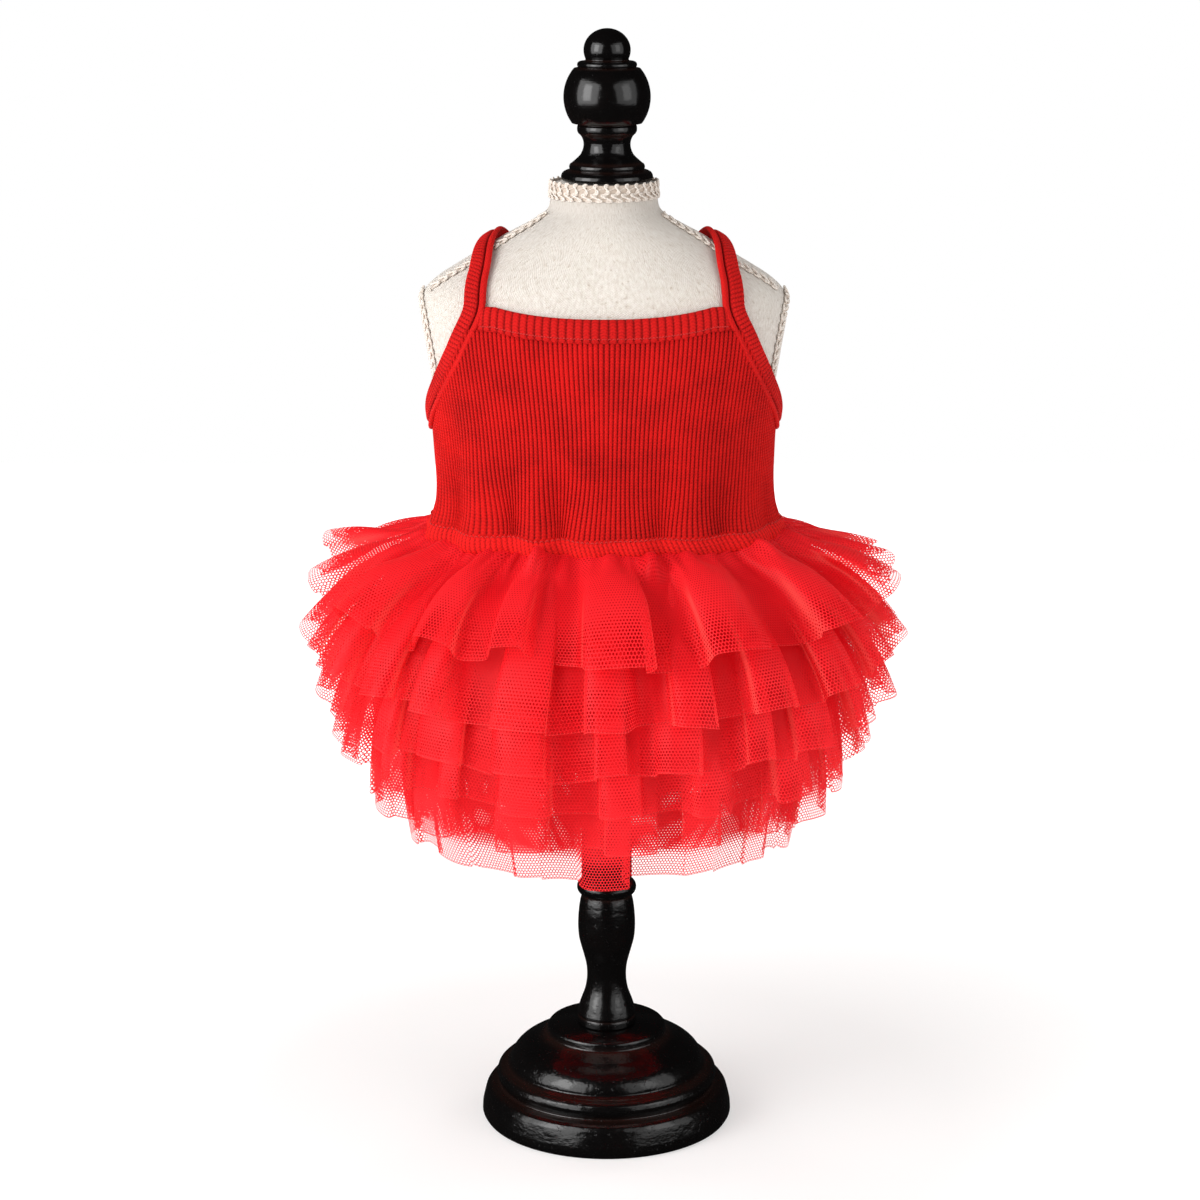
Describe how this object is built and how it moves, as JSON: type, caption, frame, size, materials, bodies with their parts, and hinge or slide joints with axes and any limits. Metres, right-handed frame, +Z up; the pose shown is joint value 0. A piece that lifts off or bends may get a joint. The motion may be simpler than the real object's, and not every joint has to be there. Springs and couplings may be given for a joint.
{
  "type": "dog tutu dress on a limbless dress form",
  "caption": "Sleeveless rib-knit bodice with thin shoulder straps and a wide skirt of gathered net frills, worn by a small padded dress form on a turned round foot.",
  "frame": {"origin": "centre of the foot's flat underside", "axes": "+Z up along the post; the dress's front faces -Y, and +X is to the right as seen from the front, where the nodes named right are"},
  "size_m": [0.2684, 0.2243, 0.4897],
  "materials": {
    "knit": "matt cotton rib knit",
    "binding": "matt folded rib knit",
    "net": "soft hexagonal net, slightly shiny and see-through",
    "linen": "matt off-white linen",
    "braid": "off-white gimp braid",
    "black_wood": "gloss black lacquer"
  },
  "bodies": {
    "root": {"bodice_front": "knit", "bodice_back": "knit", "waist_hem": "knit", "neck_binding_front": "binding", "neck_binding_back": "binding", "armhole_strap_right": "binding", "armhole_strap_left": "binding", "form_body": "linen", "neck_braid": "braid", "shoulder_braid_left": "braid", "shoulder_braid_right": "braid", "arm_braid_left": "braid", "arm_braid_right": "braid", "finial": "black_wood", "post": "black_wood", "base": "black_wood", "frill_1": "net", "frill_2": "net", "frill_3": "net", "frill_4": "net", "frill_5": "net", "frill_6": "net"}
  },
  "joints": []
}
